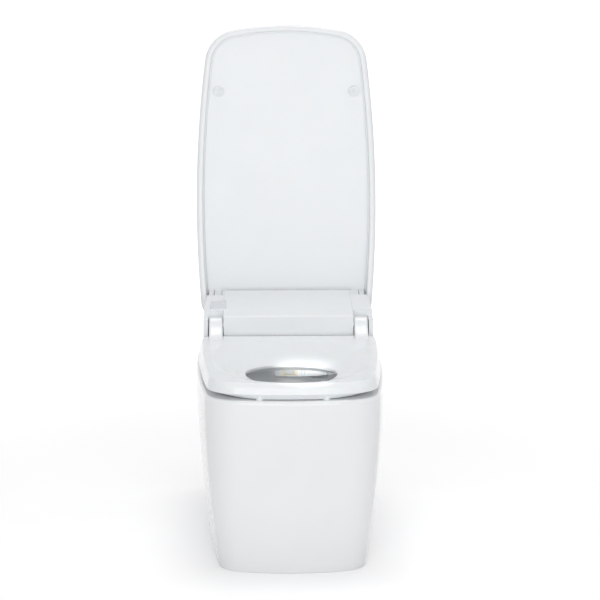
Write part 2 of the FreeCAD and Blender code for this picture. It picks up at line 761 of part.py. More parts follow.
# ---------------------------------------------------------------- washing: guide, wand, rack and pinion
def nose_housing():
    """Sloped carrier with the nozzle's channel and the dryer's channel."""
    low, high = -nose_half_height, nose_half_height
    body = box((nose_left, nose_start, low), (nose_right, nose_length, high))
    front = [e for e in body.Edges if e.BoundBox.YLength > 100 and e.BoundBox.ZMin > 0]
    body = body.makeFillet(3, front)
    channel = box((-nose_channel_half, 0, -nose_channel_half_height),
                  (nose_channel_half, nose_length + 1, nose_channel_half_height))
    trough = box((-nose_channel_half, nose_roof_length, -nose_channel_half_height),
                 (nose_channel_half, nose_length + 1, high + 1))
    dryer = box((dryer_left, 0, -dryer_half_height), (dryer_right, nose_length + 1, dryer_half_height))
    body = sloped(body.cut([channel, trough, dryer]))
    under = sloped(box((nose_left, 60, -80), (nose_right, nose_length, low)))
    feet = [box((x, nose_foot_front, chassis_top),
                (x + nose_foot_thick, nose_foot_rear, chassis_top + 60)).common(under)
            for x in (nose_left, nose_right - nose_foot_thick)]
    side = nose_side_gap - clearance
    floor = nose_half_height + nose_floor_gap - clearance
    plate = box((nose_left - side, nose_start, -floor),
                (nose_right + side, nose_start + nose_front_thick, high + 2))
    plate = sloped(plate.cut([channel, dryer]))
    return body.fuse([plate] + [f for f in feet if f.Solids])


def nozzle_guide():
    outer = box((-nose_channel_half + 0.2, 0, -nose_channel_half_height + 0.2),
                (nose_channel_half - 0.2, guide_length, nose_channel_half_height - 0.2))
    lip = box((-nose_channel_half - 0.5, -guide_lip, -nose_channel_half_height - 0.5),
              (nose_channel_half + 0.5, 1.8, nose_channel_half_height + 0.5))
    corners = [e for e in lip.Edges if e.BoundBox.YLength > 1]
    lip = lip.makeFillet(1.5, corners)
    bore = box((-wand_half_width - clearance, -5, -wand_half_height - clearance),
               (wand_half_width + clearance, guide_length + 5, wand_half_height + clearance))
    return sloped(outer.fuse(lip).cut(bore))


def rounded_bar(half_width, half_height, y0, y1, radius):
    bar = box((-half_width, y0, -half_height), (half_width, y1, half_height))
    return bar.makeFillet(radius, [e for e in bar.Edges if e.BoundBox.YLength > 5])


def pitch_height():
    """Local height of the rack's pitch line: the teeth end just under the wand's top."""
    return wand_half_height - 0.2 - gear_addendum


def rack_teeth():
    """Teeth across a groove in the wand's top, with a gap under the pinion at rest."""
    pitch = math.pi * gear_module
    lean = math.tan(math.radians(20))
    half = (pitch / 2 - gear_backlash) / 2
    line = pitch_height()
    teeth = []
    count = int((wand_length - 1 - pinion_place) / pitch)
    for i in range(-2, count):
        y = pinion_place + pitch * (i + 0.5)
        top, foot = half - gear_addendum * lean, half + gear_dedendum * lean
        outline = polygon([V(0, y - foot, line - gear_dedendum), V(0, y + foot, line - gear_dedendum),
                           V(0, y + top, line + gear_addendum), V(0, y - top, line + gear_addendum)])
        tooth = prism(outline, rack_groove, AXIS_X)
        tooth.translate(V(-rack_groove / 2, 0, 0))
        teeth.append(tooth)
    return teeth


def nozzle_wand():
    pitch = math.pi * gear_module
    bar = rounded_bar(wand_half_width, wand_half_height, wand_tip_length, wand_length, 2.5)
    groove_start = pinion_place - 2.4 * pitch
    groove = box((-rack_groove / 2, groove_start, pitch_height() - gear_dedendum),
                 (rack_groove / 2, wand_length + 1, wand_half_height + 1))
    bore = rod_y(0, 0, wand_tip_length - 1, wand_length + 1, 2.0, -1.6)
    return sloped(bar.cut([groove, bore]).fuse(rack_teeth()))


def rod_y(x, offset, y0, y1, radius, z):
    return Part.makeCylinder(radius, y1 - y0, V(x + offset, y0, z), AXIS_Y)


def nozzle_tip():
    tip = rounded_bar(wand_half_width, wand_half_height, 0.4, wand_tip_length, 2.5)
    front = [e for e in tip.Edges if e.BoundBox.YMax < 0.5]
    tip = tip.makeFillet(1.2, front)
    holes = [rod_z(x, 9 + 4 * abs(n), 0, 10, 0.9) for n, x in ((0, 0), (1, -3), (1, 3), (2, 0))]
    feed = rod_y(0, 0, 6, wand_tip_length + 1, 2.0, -1.6)
    return sloped(tip.cut(holes + [feed]))


def involute_tooth_points():
    """Half of one tooth: involute from the base circle to the tip, as (radius, angle)."""
    base = pitch_radius * math.cos(math.radians(20))
    tip = pitch_radius + gear_addendum
    at_pitch = math.tan(math.radians(20)) - math.radians(20)
    half_angle = (math.pi * gear_module / 2 - gear_backlash) / 2 / pitch_radius
    points = []
    for i in range(5):
        radius = base + (tip - base) * i / 4
        press = math.acos(min(1.0, base / radius))
        points.append((radius, half_angle + at_pitch - (math.tan(press) - press)))
    return points


def nozzle_pinion():
    root = pitch_radius - gear_dedendum
    flank = involute_tooth_points()
    outline = []
    for i in range(gear_teeth):
        middle = -math.pi / 2 + 2 * math.pi * i / gear_teeth
        rise = [(root, flank[0][1])] + flank
        turns = [(r, middle - a) for r, a in rise] + [(r, middle + a) for r, a in reversed(rise)]
        outline += [V(0, r * math.cos(t), r * math.sin(t)) for r, t in turns]
    wheel = prism(polygon(outline), gear_width, AXIS_X)
    wheel.translate(V(-gear_width / 2, 0, 0))
    shaft = rod_x(-nose_channel_half - 14, 8, 0, 0, 1.5)
    pinion = wheel.fuse(shaft)
    pinion.translate(V(0, pinion_place, pitch_height() + pitch_radius))
    return sloped(pinion)


def nozzle_motor():
    """Stepping motor on a bracket at the side of the channel, round the pinion's shaft."""
    z = pitch_height() + pitch_radius
    x1 = nose_left - 4
    case = rod_x(x1 - motor_length, x1, pinion_place, z, motor_radius)
    plate = box((x1, pinion_place - 16, -nose_half_height), (nose_left, pinion_place + 16, z + 14))
    bore = rod_x(x1 - motor_length + 2, nose_left + 1, pinion_place, z, 1.5 + running)
    return sloped(case.fuse(plate).cut(bore))


# ---------------------------------------------------------------- drying
def dryer_duct():
    inset = 0.2
    outer = box((dryer_left + inset, 4, -dryer_half_height + inset),
                (dryer_right - inset, nose_length - 4, dryer_half_height - inset))
    inner = box((dryer_left + inset + duct_wall, 0, -dryer_half_height + inset + duct_wall),
                (dryer_right - inset - duct_wall, nose_length, dryer_half_height - inset - duct_wall))
    return sloped(outer.cut(inner))


def dryer_flap():
    """Outlet flap that swings out about its top edge."""
    plate = box((dryer_left + 1, 0.2, -dryer_half_height), (dryer_right - 1, 0.2 + flap_thick,
                                                          dryer_half_height - 0.5))
    plate = plate.makeFillet(1.5, [e for e in plate.Edges if e.BoundBox.YLength > 1])
    cap = box((flap_cap_left, -flap_cap, -flap_cap_low),
              (flap_cap_right, 0.2 + flap_thick / 2, flap_cap_high))
    cap = cap.makeFillet(3.0, [e for e in cap.Edges if e.BoundBox.YLength > 1])
    cap = cap.makeFillet(2.0, [e for e in cap.Edges if e.BoundBox.YMax < -flap_cap + 0.1])
    return sloped(plate.fuse(cap))


def fan_housing():
    top = fan_bottom + fan_height
    wall = 2.0
    x0, x1 = fan_x - 58, fan_x - 22
    drum = rod_z(fan_x, fan_y, fan_bottom, top, fan_radius)
    outlet = box((x0, fan_y - 38, fan_bottom), (x1, fan_y, top))
    room = rod_z(fan_x, fan_y, fan_bottom + wall, top - wall, fan_radius - wall)
    way = box((x0 + wall, fan_y - 39, fan_bottom + wall), (x1 - wall, fan_y, top - wall))
    inlet = rod_z(fan_x, fan_y, top - wall - 1, top + 1, fan_radius * 0.55)
    hub = rod_z(fan_x, fan_y, fan_bottom - 1, fan_bottom + wall + 1, 4.0)
    return drum.fuse(outlet).cut([room, way, inlet, hub])


def fan_impeller():
    low, high = fan_bottom + 4, fan_bottom + fan_height - 5
    disc = rod_z(fan_x, fan_y, low, low + 2, impeller_radius)
    hub = rod_z(fan_x, fan_y, low, high - 4, 7.0)
    shaft = rod_z(fan_x, fan_y, fan_bottom - 14, low, 2.0)
    blades = []
    for i in range(fan_blades):
        blade = box((impeller_radius - 9, -0.6, low + 1), (impeller_radius - 0.5, 0.6, high))
        blade.rotate(V(impeller_radius - 5, 0, 0), AXIS_Z, 35)
        blade.translate(V(fan_x, fan_y, 0))
        blade.rotate(V(fan_x, fan_y, 0), AXIS_Z, 360 * i / fan_blades)
        blades.append(blade)
    return disc.fuse([hub, shaft] + blades)


def fan_motor():
    body = rod_z(fan_x, fan_y, chassis_top, fan_bottom, 18.0)
    return body.cut(rod_z(fan_x, fan_y, fan_bottom - 16, fan_bottom + 1, 2.0 + running))


def dryer_heater():
    """Frame with heating ribs in the fan's outlet."""
    x0, x1 = fan_x - 58 + 2 + clearance, fan_x - 22 - 2 - clearance
    y0 = fan_y - 36
    low, high = fan_bottom + 2, fan_bottom + fan_height - 2 - clearance
    bars = [box((x0, y0, low + step), (x1, y0 + 12, low + step + 1.2)) for step in (0, 6, 12, 18)]
    posts = [box((x, y0, low), (x + 2, y0 + 12, high)) for x in (x0, (x0 + x1) / 2 - 1, x1 - 2)]
    return bars[0].fuse(bars[1:] + posts)


# ---------------------------------------------------------------- electronics and water
def post_group(x0, x1, y0, y1, height):
    return [rod_z(x, y, chassis_top, chassis_top + height, 3.0) for x in (x0 + 5, x1 - 5)
            for y in (y0 + 5, y1 - 5)]


def control_board():
    x0, x1, y0, y1 = -120.0, -38.0, 98.0, 160.0
    lift = 10.0
    board = box((x0, y0, chassis_top + lift), (x1, y1, chassis_top + lift + 1.6))
    chips = [box((x0 + 12 + 22 * i, y0 + 18, chassis_top + lift + 1.6),
                 (x0 + 26 + 22 * i, y0 + 34, chassis_top + lift + 5)) for i in range(3)]
    return board.fuse(post_group(x0, x1, y0, y1, lift) + chips)


def power_supply():
    case = box((-28, 186, chassis_top), (18, 262, chassis_top + 34))
    return case.makeFillet(3, [e for e in case.Edges if e.BoundBox.ZLength > 20])


def water_heater():
    """Instant heater: a flat pressure vessel with inlet and outlet stubs."""
    case = box((-112, 172, chassis_top), (-36, 228, chassis_top + 42))
    case = case.makeFillet(8, [e for e in case.Edges if e.BoundBox.ZLength > 20])
    stub = Part.makeCylinder(5.0, 10, V(-100, 228, chassis_top + 14), AXIS_Y)
    outlet = Part.makeCylinder(4.0, 8, V(-52, 164, chassis_top + 32), AXIS_Y)
    return case.fuse([stub, outlet])


def solenoid_valve():
    inner_y = unit_rear_y - 6
    body = box((inlet_x - 12, inner_y - 26, chassis_top), (inlet_x + 12, inner_y - clearance,
                                                        chassis_top + 24))
    coil = rod_z(inlet_x, inner_y - 13, chassis_top + 24, chassis_top + 34, 10.0)
    side = rod_x(inlet_x + 12, -100 + 5, inner_y - 16, chassis_top + 14, 4.0)
    return body.fuse([coil, side])


def odour_filter():
    case = box((-134, 92, chassis_top), (-124, 150, chassis_top + 34))
    return case.makeFillet(3, [e for e in case.Edges if e.BoundBox.ZLength > 20])


def damper(axis_y, axis_z, radius, x1, length, bore):
    case = rod_x(x1 - length, x1, axis_y, axis_z, radius)
    rim = [e for e in case.Edges if e.Curve.TypeId == "Part::GeomCircle"]
    return case.makeFillet(1.5, rim).cut(rod_x(x1 - length + 8, x1 + 1, axis_y, axis_z, bore))


def seat_damper_x():
    return tongue_half_width - cover_wall - 0.5


def lid_damper_x():
    return lid_arm_inner_x - 1.5 - cover_wall - 0.5


def seat_dampers():
    one = damper(seat_axis_y, seat_axis_z, 15.0, seat_damper_x(), 46.0, seat_shaft_radius + running)
    return Part.makeCompound(both_sides(one))


def lid_dampers():
    one = damper(lid_axis_y, lid_axis_z, 14.0, lid_damper_x(), 46.0, lid_pin_radius + running)
    return Part.makeCompound(both_sides(one))


def damper_brackets():
    """Posts with a half-round saddle under each damper."""
    posts = []
    for x1, y, z, radius in ((seat_damper_x(), seat_axis_y, seat_axis_z, 15.0),
                             (lid_damper_x(), lid_axis_y, lid_axis_z, 14.0)):
        post = box((x1 - 12, y - 9, chassis_top), (x1 - 2, y + 9, z))
        posts += both_sides(post.cut(rod_x(x1 - 60, x1 + 5, y, z, radius + 0.1)))
    return Part.makeCompound(posts)


def seat_hinge_shafts():
    shaft = rod_x(seat_damper_x() - 34, seat_arm_inner_x + seat_arm_width - 6, seat_axis_y, seat_axis_z,
                  seat_shaft_radius)
    return Part.makeCompound(both_sides(shaft))


def lid_hinge_pins():
    pin = rod_x(lid_damper_x() - 34, lid_arm_inner_x + lid_arm_width - 4, lid_axis_y, lid_axis_z,
                lid_pin_radius)
    return Part.makeCompound(both_sides(pin))


# ---------------------------------------------------------------- seat
def tilted(wire):
    """The wire turned so that its rear rises, about the ridge's front."""
    turned = wire.copy()
    turned.rotate(V(0, rim_front_y + seat_ridge_inset, seat_ridge_z), AXIS_X, seat_tilt)
    return turned


def seat_wire(z, inset):
    rear = seat_rear_y + inset
    return plan_wire(z, inset, rear=rear, back_corner=rear_corner + inset)


def seat_form(inset):
    """The seat without its dip and opening, or with inset the room in its shell."""
    low = seat_bottom_z - (1.0 if inset else 0.0)
    middle = (seat_bottom_z + seat_ridge_z) / 2
    lower = seat_wire(low, seat_inset + inset)
    waist = seat_wire(middle, seat_inset + inset + 1.8)
    top = tilted(seat_wire(seat_ridge_z - inset, seat_ridge_inset + inset))
    return loft([lower, waist, top])


def seat_dip(drop):
    """What is cut away over the seat's sloping top, lowered by drop."""
    outer = tilted(seat_wire(seat_ridge_z - drop, seat_ridge_inset + seat_flat))
    inner = seat_opening_wire(opening_edge_z - drop)
    shoulder = seat_opening_wire(dip_shoulder_z - drop, dip_shoulder)
    return loft([inner, shoulder, outer])


def opening_cut(grow, low=-10.0, high=80.0):
    return prism(seat_opening_wire(seat_bottom_z + low, grow), high - low)


def seat_arm():
    """Arm that sweeps up from the seat's rear corner to its hinge, and the shaft's bore."""
    x0, y, z, r = seat_arm_inner_x, seat_axis_y, seat_axis_z, seat_barrel
    front = V(x0, y - 0.8 * r, z + 0.6 * r)
    sweep = (front.z - seat_arm_root_z) / 0.4
    start = V(x0, front.y - 0.8 * sweep, seat_arm_root_z)
    bend = V(x0, start.y + sweep * math.sin(math.radians(26)),
             start.z + sweep * (1 - math.cos(math.radians(26))))
    under = V(x0, y + 0.8 * r, z - 0.6 * r)
    fall = under.z - seat_split_z
    low_end = V(x0, under.y - 0.75 * fall, seat_split_z)
    low_start = V(x0, start.y, seat_split_z)
    over = V(x0, y + 0.6 * r, z + 0.8 * r)
    edges = [Part.LineSegment(low_start, start).toShape(), Part.Arc(start, bend, front).toShape(),
             Part.Arc(front, over, under).toShape(), Part.LineSegment(under, low_end).toShape(),
             Part.LineSegment(low_end, low_start).toShape()]
    arm = prism(Part.Wire(edges), seat_arm_width, AXIS_X)
    round_edges = [e for e in arm.Edges if e.BoundBox.XLength < 0.1 and e.BoundBox.ZMax > z]
    arm = arm.makeFillet(seat_arm_round, round_edges)
    bore = rod_x(x0 - 1, x0 + seat_arm_width - 5, y, z, seat_shaft_radius + running)
    return arm, bore


def nose_relief():
    return sloped(box((-nose_relief_half, 20, -30), (nose_relief_half, 200, nose_half_height + 2.5)))


def seat_top():
    """Upper shell of the seat, with its hinge arms."""
    form = seat_form(0).cut([seat_dip(0), opening_cut(0)])
    upper = form.cut(box((-overall_depth, -overall_depth, 0), (overall_depth, overall_depth, seat_split_z)))
    room = seat_form(seat_wall).cut([seat_dip(seat_wall), opening_cut(seat_wall)])
    arm, bore = seat_arm()
    shell = upper.cut(room)
    cuts = both_sides(bore) + [nose_relief()]
    return shell.fuse(both_sides(arm)).cut(cuts)


def bulge_wire(z, grow=0.0):
    """Lowest ring of the lower shell: near the seat's edge at the front, rounder than it."""
    return plan_wire(z, -grow, front=rim_front_y + seat_inset + bulge_front, rear=bulge_rear_y,
                     half_width=bulge_half_width, corner=bulge_corner, wide_y=opening_middle,
                     side_radius=pan_half_width * 3, back_corner=bulge_corner * 0.6)


def seat_bottom():
    """Lower shell: a plate that swells down to a ring, with a raised wall round the opening."""
    low = loft([bulge_wire(bulge_z), seat_wire(seat_split_z, seat_inset + 1.0)])
    flare = loft([seat_opening_wire(bulge_z - 0.5, bulge_wall),
                  seat_opening_wire(seat_split_z + 0.5, 0.0)])
    body = low.cut([flare, opening_cut(0)])
    hollow = low.copy()
    hollow.translate(V(0, 0, seat_wall))
    rim = opening_cut(bulge_wall + seat_wall)
    return body.cut([hollow.cut(rim), nose_relief()])


def seat_heater():
    """Heating film under the seat's top."""
    layer = seat_dip(seat_wall + heater_thick + 0.1).cut(seat_dip(seat_wall + 0.1))
    return layer.common(opening_cut(heater_reach)).cut(opening_cut(heater_gap))


def seat_bumpers():
    base = seat_bottom()
    pads = []
    for x, y in seat_pads:
        pad = rod_z(x, y, rim_height, seat_split_z, seat_pad_radius).cut(base)
        lowest = min(pad.Solids, key=lambda s: s.BoundBox.ZMin)
        pads += both_sides(lowest)
    return Part.makeCompound(pads)


# ---------------------------------------------------------------- lid
def lid_wire(z, inset_front=0.0, inset_side=0.0, rear=None):
    """The lid's outline in its own frame, whose origin is the hinge axis."""
    rear = lid_behind if rear is None else rear
    corner = corner_arc - (inset_front + inset_side) / 2
    return plan_wire(z, 0.0, front=-lid_length + inset_front, half_width=lid_half_width - inset_side,
                     rear=rear, corner=corner, front_radius=front_arc - inset_front,
                     side_radius=side_arc - inset_side, wide_y=widest_y - lid_axis_y)


def lip_cut():
    """Everything below the lid's lip, which grows deeper to the rear."""
    wide = lid_half_width + 20
    middle = widest_y - lid_axis_y
    z_front, z_middle = lid_inner - lip_drop_front, lid_inner - lip_drop_middle
    z_rear = lid_inner - lip_drop_rear
    start, joint = V(-wide, -lid_length - 20, z_front), V(-wide, middle, z_middle)
    end = V(-wide, lid_behind + 10, z_rear)
    along = (joint - start).normalize()
    across = V(0, along.z, -along.y)
    radius = (end - joint).Length ** 2 / (2 * across.dot(end - joint))
    centre = joint + across * radius
    bend = centre + ((joint + end) * 0.5 - centre).normalize() * radius
    edges = [Part.LineSegment(start, joint).toShape(), Part.Arc(joint, bend, end).toShape(),
             Part.LineSegment(end, V(-wide, end.y, -100)).toShape(),
             Part.LineSegment(V(-wide, end.y, -100), V(-wide, start.y, -100)).toShape(),
             Part.LineSegment(V(-wide, start.y, -100), start).toShape()]
    return prism(Part.Wire(edges), 2 * wide, AXIS_X)


def lid_shell():
    """Outer shell with the rounded rim and the side skirts."""
    bottom = -20.0
    outer = prism(lid_wire(bottom), lid_inner + lid_thickness - bottom)
    top = [e for e in outer.Edges if e.BoundBox.ZMin > lid_inner + lid_thickness - 0.01]
    outer = outer.makeFillet(lid_round, top)
    pocket = prism(lid_wire(bottom - 1, lid_front_lip, lid_side_lip, rear=lid_behind + 40),
                   lid_inner - bottom + 1)
    room_top = lid_inner + lid_thickness - lid_wall
    room = prism(lid_wire(lid_inner - 1, lid_front_lip + lid_ledge, lid_side_lip + lid_ledge,
                          rear=lid_behind - lid_wall), room_top - lid_inner + 1)
    bosses = [rod_z(x, y, lid_inner + lid_panel, room_top + 1, 5.0)
              for x in (-110, 110) for y in (-100.0, -300.0, -500.0)]
    shell = outer.cut([pocket, lip_cut()])
    shell = round_lip(shell, lip_outer_round)
    shell = round_lip(shell, lip_inner_round, (lid_front_lip, lid_side_lip))
    return placed(shell.cut(room).fuse(bosses), open_lid_frame())


def round_lip(shell, radius, insets=(0.0, 0.0)):
    """Rounds the lip's lower edge, on its outside or, with insets, on its inside."""
    outline = lid_wire(0.0, *insets)
    found = []
    for edge in shell.Edges:
        b = edge.BoundBox
        upright = b.XLength + b.YLength < 0.1
        if upright or b.ZMax > lid_inner - 0.5 or b.YMax > lid_behind - 1.0:
            continue
        middle = edge.valueAt((edge.FirstParameter + edge.LastParameter) / 2)
        if Part.Vertex(V(middle.x, middle.y, 0)).distToShape(outline)[0] < 0.05:
            found.append(edge)
    return shell.makeFillet(radius, found)


def lid_leg(x0, x1):
    """Wedge from the lid's inner face down to the hinge."""
    outline = polygon([V(x0, -lid_arm_front, lid_inner), V(x0, -lid_arm_barrel * 0.9, -lid_arm_barrel * 0.4),
                       V(x0, lid_arm_rear, -lid_arm_barrel * 0.5), V(x0, lid_arm_rear, lid_inner)])
    return prism(outline, x1 - x0, AXIS_X)


def lid_arm():
    """Hinge arm with the pin's bore, and the foot that fills the shoulder's rear beside it."""
    x0, x1 = lid_arm_inner_x, lid_arm_inner_x + lid_arm_width
    barrel = rod_x(x0, x1, 0, 0, lid_arm_barrel)
    bore = rod_x(x0 - 1, x1 - 3, 0, 0, lid_pin_radius + running)
    rear_inset = (widest_y - lid_axis_y - lid_arm_rear) ** 2 / (2 * side_arc)
    foot = lid_leg(x1 + lid_foot_gap, lid_half_width - lid_side_lip - rear_inset - lid_ledge)
    return [barrel.fuse(lid_leg(x0, x1)).cut(bore), foot]


def lid_inner_panel():
    gap = clearance / 2
    inset = lid_ledge + gap
    plate = prism(lid_wire(lid_inner, lid_front_lip + inset, lid_side_lip + inset,
                           rear=lid_behind - lid_wall - gap), lid_panel)
    legs = [side for leg in lid_arm() for side in both_sides(leg)]
    panel = plate.fuse(legs)
    return placed(panel, open_lid_frame())


def lid_bumper_height(seat):
    """Height at which the closed lid's bumpers meet the seat."""
    local = seat.copy()
    local.Placement = closed_lid_frame().inverse().multiply(local.Placement)
    highest = -60.0
    for turn in range(8):
        x = lid_bumper_x + lid_bumper_radius * math.cos(math.radians(45 * turn))
        y = -lid_bumper_reach + lid_bumper_radius * math.sin(math.radians(45 * turn))
        hit = local.common(Part.makeLine(V(x, y, lid_inner), V(x, y, -60)))
        highest = max([highest] + [v.Z for v in hit.Vertexes])
    return lid_inner - highest - clearance


def lid_bumpers(seat):
    height = lid_bumper_height(seat)
    print("lid bumper height", round(height, 2))
    pad = rod_z(lid_bumper_x, -lid_bumper_reach, lid_inner - height, lid_inner, lid_bumper_radius)
    rim = [e for e in pad.Edges if e.BoundBox.ZMax < lid_inner - height + 0.1]
    pad = pad.makeFillet(lid_bumper_round, rim)
    return Part.makeCompound([placed(p, open_lid_frame()) for p in both_sides(pad)])


# ---------------------------------------------------------------- write every piece
seat_shell = seat_top()
pieces = {
    "ceramic_pan": ceramic_pan, "outlet_seal": outlet_seal, "floor_brackets": floor_brackets,
    "skirt_screws": skirt_screws, "skirt_caps": skirt_caps,
    "unit_base": unit_base, "unit_cover": unit_cover, "rear_panel": rear_panel,
    "power_gland": power_gland, "water_inlet": water_inlet, "unit_bolts": unit_bolts,
    "chassis_plate": chassis_plate, "chassis_screws": chassis_screws,
    "sensor_window": lambda: sensor_window_form(0.0), "flush_tank": flush_tank,
    "flush_pump": flush_pump, "jet_pipe": jet_pipe, "nose_housing": nose_housing,
    "nozzle_guide": nozzle_guide, "nozzle_wand": nozzle_wand, "nozzle_tip": nozzle_tip,
    "nozzle_pinion": nozzle_pinion, "nozzle_motor": nozzle_motor, "dryer_duct": dryer_duct,
    "dryer_flap": dryer_flap, "fan_housing": fan_housing, "fan_impeller": fan_impeller,
    "fan_motor": fan_motor, "dryer_heater": dryer_heater, "control_board": control_board,
    "power_supply": power_supply, "water_heater": water_heater, "solenoid_valve": solenoid_valve,
    "odour_filter": odour_filter, "seat_dampers": seat_dampers, "lid_dampers": lid_dampers,
    "damper_brackets": damper_brackets, "seat_hinge_shafts": seat_hinge_shafts,
    "lid_hinge_pins": lid_hinge_pins, "seat_top": lambda: seat_shell, "seat_bottom": seat_bottom,
    "seat_heater": seat_heater, "seat_bumpers": seat_bumpers, "lid_shell": lid_shell,
    "lid_inner_panel": lid_inner_panel, "lid_bumpers": lambda: lid_bumpers(seat_shell),
}
for name, make in pieces.items():
    write(name, make())
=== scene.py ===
# %% [markdown]
# # A smart toilet with its lid open
#
# The CAD model gives every rigid piece in its real place, so this lesson is about looks: a camera
# that sees the toilet as the photograph does, soft studio light on a white ground, a finish for
# each real material, and the few small things that CAD leaves out, such as threads and screws.
# The first step loads the CAD pieces. They never move, and they only get finishes.

import bmesh
import bpy
import json
import math
from mathutils import Matrix, Vector


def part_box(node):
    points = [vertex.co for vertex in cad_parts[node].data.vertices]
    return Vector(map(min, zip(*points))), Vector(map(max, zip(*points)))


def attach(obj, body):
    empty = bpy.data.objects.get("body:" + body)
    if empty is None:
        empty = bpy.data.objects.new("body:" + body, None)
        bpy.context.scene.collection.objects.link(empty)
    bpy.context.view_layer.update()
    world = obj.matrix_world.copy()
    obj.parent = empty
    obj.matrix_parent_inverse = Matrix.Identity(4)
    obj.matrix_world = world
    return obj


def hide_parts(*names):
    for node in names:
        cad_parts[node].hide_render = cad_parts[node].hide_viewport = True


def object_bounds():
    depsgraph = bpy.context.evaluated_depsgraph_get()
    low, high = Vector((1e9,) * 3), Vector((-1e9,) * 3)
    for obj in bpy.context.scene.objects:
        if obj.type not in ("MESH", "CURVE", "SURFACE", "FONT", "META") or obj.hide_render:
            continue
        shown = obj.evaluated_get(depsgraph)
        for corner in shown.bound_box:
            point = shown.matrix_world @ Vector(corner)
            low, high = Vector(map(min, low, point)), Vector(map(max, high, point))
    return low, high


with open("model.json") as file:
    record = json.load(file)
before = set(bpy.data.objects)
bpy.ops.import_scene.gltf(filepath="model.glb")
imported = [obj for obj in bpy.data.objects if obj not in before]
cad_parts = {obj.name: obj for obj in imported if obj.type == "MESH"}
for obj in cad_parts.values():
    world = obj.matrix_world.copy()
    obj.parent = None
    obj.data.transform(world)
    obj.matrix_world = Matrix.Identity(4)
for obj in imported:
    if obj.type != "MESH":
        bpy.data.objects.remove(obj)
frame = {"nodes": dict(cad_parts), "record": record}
cad_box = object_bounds()
nodes = frame["nodes"]

# %% [markdown]
# ## Camera
#
# The photograph looks slightly down on the toilet from a good distance, with a long lens, so its
# upright edges stay nearly parallel. A shorter lens nearer by would show the same width but would
# make the bowl look much wider than the lid. The height, distance and angles below were found by
# fitting the outline of lid, seat and pan.

# %% Place the camera
CAMERA_PLACE = (-0.0990, -4.3813, 1.3247)
CAMERA_PITCH = 79.27                      # degrees from looking straight down
CAMERA_YAW = -1.6                         # degrees, a little from the left
LENS = 125.87                             # millimetres on a 36 mm wide sensor

camera_data = bpy.data.cameras.new("camera")
camera_data.lens = LENS
camera_data.sensor_width = 36.0
camera_data.clip_end = 100.0
camera = bpy.data.objects.new("camera", camera_data)
camera.location = CAMERA_PLACE
camera.rotation_euler = (math.radians(CAMERA_PITCH), 0.0, math.radians(CAMERA_YAW))
bpy.context.scene.collection.objects.link(camera)
bpy.context.scene.camera = camera
bpy.context.scene.view_settings.view_transform = "Standard"
print("camera", round(camera.location.length, 2), "m from the outlet, lens", LENS, "mm")

# %% [markdown]
# ## Nodes in a few words
#
# Every finish below is a small graph of shader nodes. Writing each node out takes several lines,
# so two helpers do it: one starts a material and returns its Principled shader, the other adds a
# node, sets its values and joins its inputs. A value that is the same all over the surface is set
# on the shader's own socket, because that is what an export to other programs keeps.

# %% Helpers for shader nodes
def start_finish(name, colour, roughness):
    """A material with a plain Principled shader: (material, shader)."""
    material = bpy.data.materials.new(name)
    material.use_nodes = True
    shader = material.node_tree.nodes["Principled BSDF"]
    shader.inputs["Base Color"].default_value = (*colour, 1.0)
    shader.inputs["Roughness"].default_value = roughness
    return material, shader


def node(material, kind, settings=None, values=None, links=None):
    """One shader node with its settings, socket values and incoming links."""
    made = material.node_tree.nodes.new(kind)
    for name, value in (settings or {}).items():
        setattr(made, name, value)
    for socket, value in (values or {}).items():
        made.inputs[socket].default_value = value
    for socket, source in (links or {}).items():
        material.node_tree.links.new(source, made.inputs[socket])
    return made


def join(material, source, target):
    material.node_tree.links.new(source, target)


print("helpers for shader nodes ready")

# %% [markdown]
# ## Noise at a real scale
#
# Glaze, moulded plastic and rubber are never perfectly even. Each has faint clouds in its colour,
# patches that are a little more or less glossy, and a surface that waves by hundredths of a
# millimetre. All three come from noise read in object coordinates, which are metres here, so one
# over the size of a bump is the noise's scale. A picture texture could do the same, but it would
# need unwrapping and would blur close up.

# %% A surface that is almost even
def noise(material, size, detail=2.0):
    """Noise whose bumps are about size metres across."""
    where = node(material, "ShaderNodeTexCoord")
    return node(material, "ShaderNodeTexNoise", values={"Scale": 1.0 / size, "Detail": detail},
                links={"Vector": where.outputs["Object"]}).outputs["Fac"]


def spread(material, source, low, high):
    """The source's middle range stretched to run from low to high."""
    made = node(material, "ShaderNodeMapRange",
                values={"From Min": 0.3, "From Max": 0.7, "To Min": low, "To Max": high},
                links={"Value": source})
    return made.outputs["Result"]


def colour_clouds(material, shader, colour, size, change):
    """Mixes the colour with one that is lighter or darker by change, in soft patches."""
    other = [min(1.0, max(0.0, c * (1.0 + change))) for c in colour]
    mix = node(material, "ShaderNodeMix", {"data_type": "RGBA"},
               links={"Factor": spread(material, noise(material, size), 0.0, 1.0)})
    colour_a, colour_b, result = mix.inputs[6], mix.inputs[7], mix.outputs[2]
    colour_a.default_value = (*colour, 1.0)
    colour_b.default_value = (*other, 1.0)
    join(material, result, shader.inputs["Base Color"])


def gloss_patches(material, shader, size, low, high):
    patches = spread(material, noise(material, size, 4.0), low, high)
    join(material, patches, shader.inputs["Roughness"])


def soft_edges(material, radius):
    """Normals that turn round sharp edges as if they had that radius, in metres."""
    return node(material, "ShaderNodeBevel", {"samples": 4}, {"Radius": radius}).outputs["Normal"]


def ripple(material, shader, size, height, detail=2.0, before=None):
    """A bump of that height in metres. Several are chained through before."""
    bump = node(material, "ShaderNodeBump", values={"Strength": 1.0, "Distance": height},
                links={"Height": noise(material, size, detail)})
    if before:
        join(material, before, bump.inputs["Normal"])
    join(material, bump.outputs["Normal"], shader.inputs["Normal"])
    return bump.outputs["Normal"]


print("noise helpers ready")

